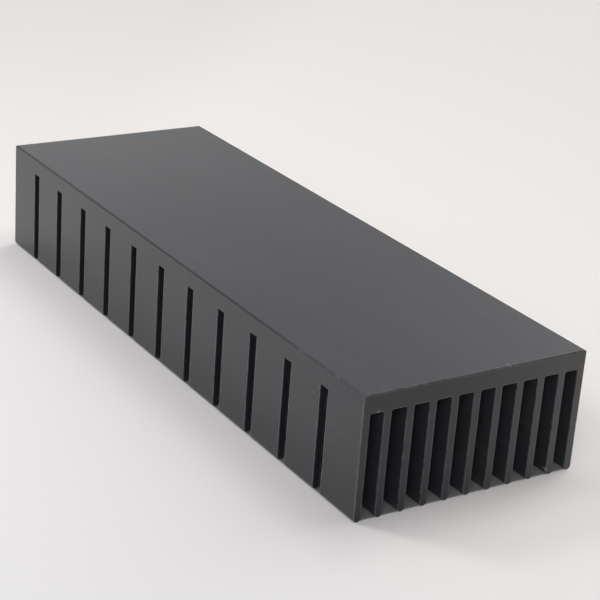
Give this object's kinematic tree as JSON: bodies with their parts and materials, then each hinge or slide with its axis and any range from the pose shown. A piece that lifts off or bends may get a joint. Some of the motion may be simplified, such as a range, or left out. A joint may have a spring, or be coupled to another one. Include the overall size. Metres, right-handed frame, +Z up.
{
  "type": "extruded heat sink",
  "caption": "Flat-backed extruded aluminium heat sink with parallel fins, cross-cut into teeth by narrow saw slots.",
  "frame": {"origin": "middle of the part on the plane that the fin tips rest on", "axes": "+X across the fins, +Y along the extrusion, +Z up, from the fin tips to the flat mounting face"},
  "size_m": [0.04, 0.12, 0.02],
  "materials": {
    "anodised_aluminium": "satin black anodised"
  },
  "bodies": {
    "root": {"heat_sink": "anodised_aluminium"}
  },
  "joints": []
}
